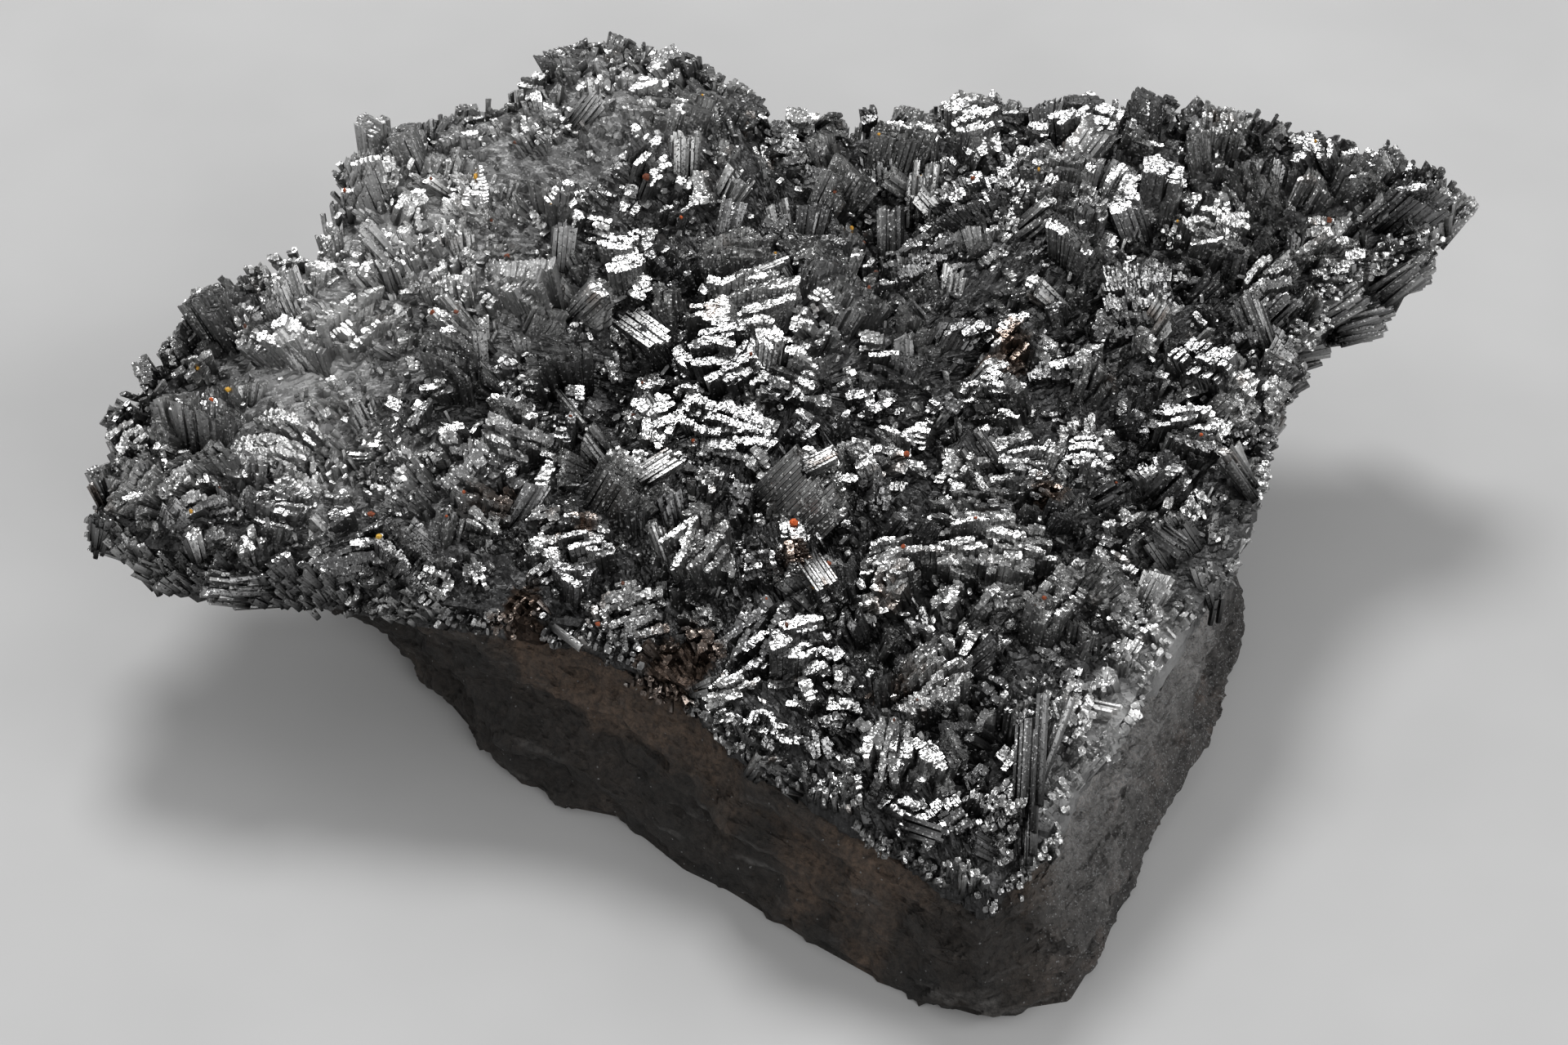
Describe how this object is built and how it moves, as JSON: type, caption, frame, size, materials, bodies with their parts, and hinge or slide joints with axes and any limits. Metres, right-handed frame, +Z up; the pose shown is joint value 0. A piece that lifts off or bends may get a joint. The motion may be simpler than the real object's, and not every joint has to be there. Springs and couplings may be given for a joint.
{
  "type": "pyrolusite mineral specimen",
  "caption": "Kite-shaped crust of intergrown steel-grey bladed pyrolusite crystals on a wedge of dark, iron-stained host rock.",
  "frame": {"origin": "under the middle of the specimen's bounding box, on the surface that it rests on", "axes": "+Z up out of the crystal face, +X along the specimen's length towards the pointed right wing, -Y towards the front corner where the rock shows on both sides"},
  "size_m": [0.0671, 0.0511, 0.0208],
  "materials": {
    "dark_rock": "matte",
    "steel_grey_crystal": "gloss"
  },
  "bodies": {
    "root": {"matrix": "dark_rock", "crystal_crust": "steel_grey_crystal"}
  },
  "joints": []
}
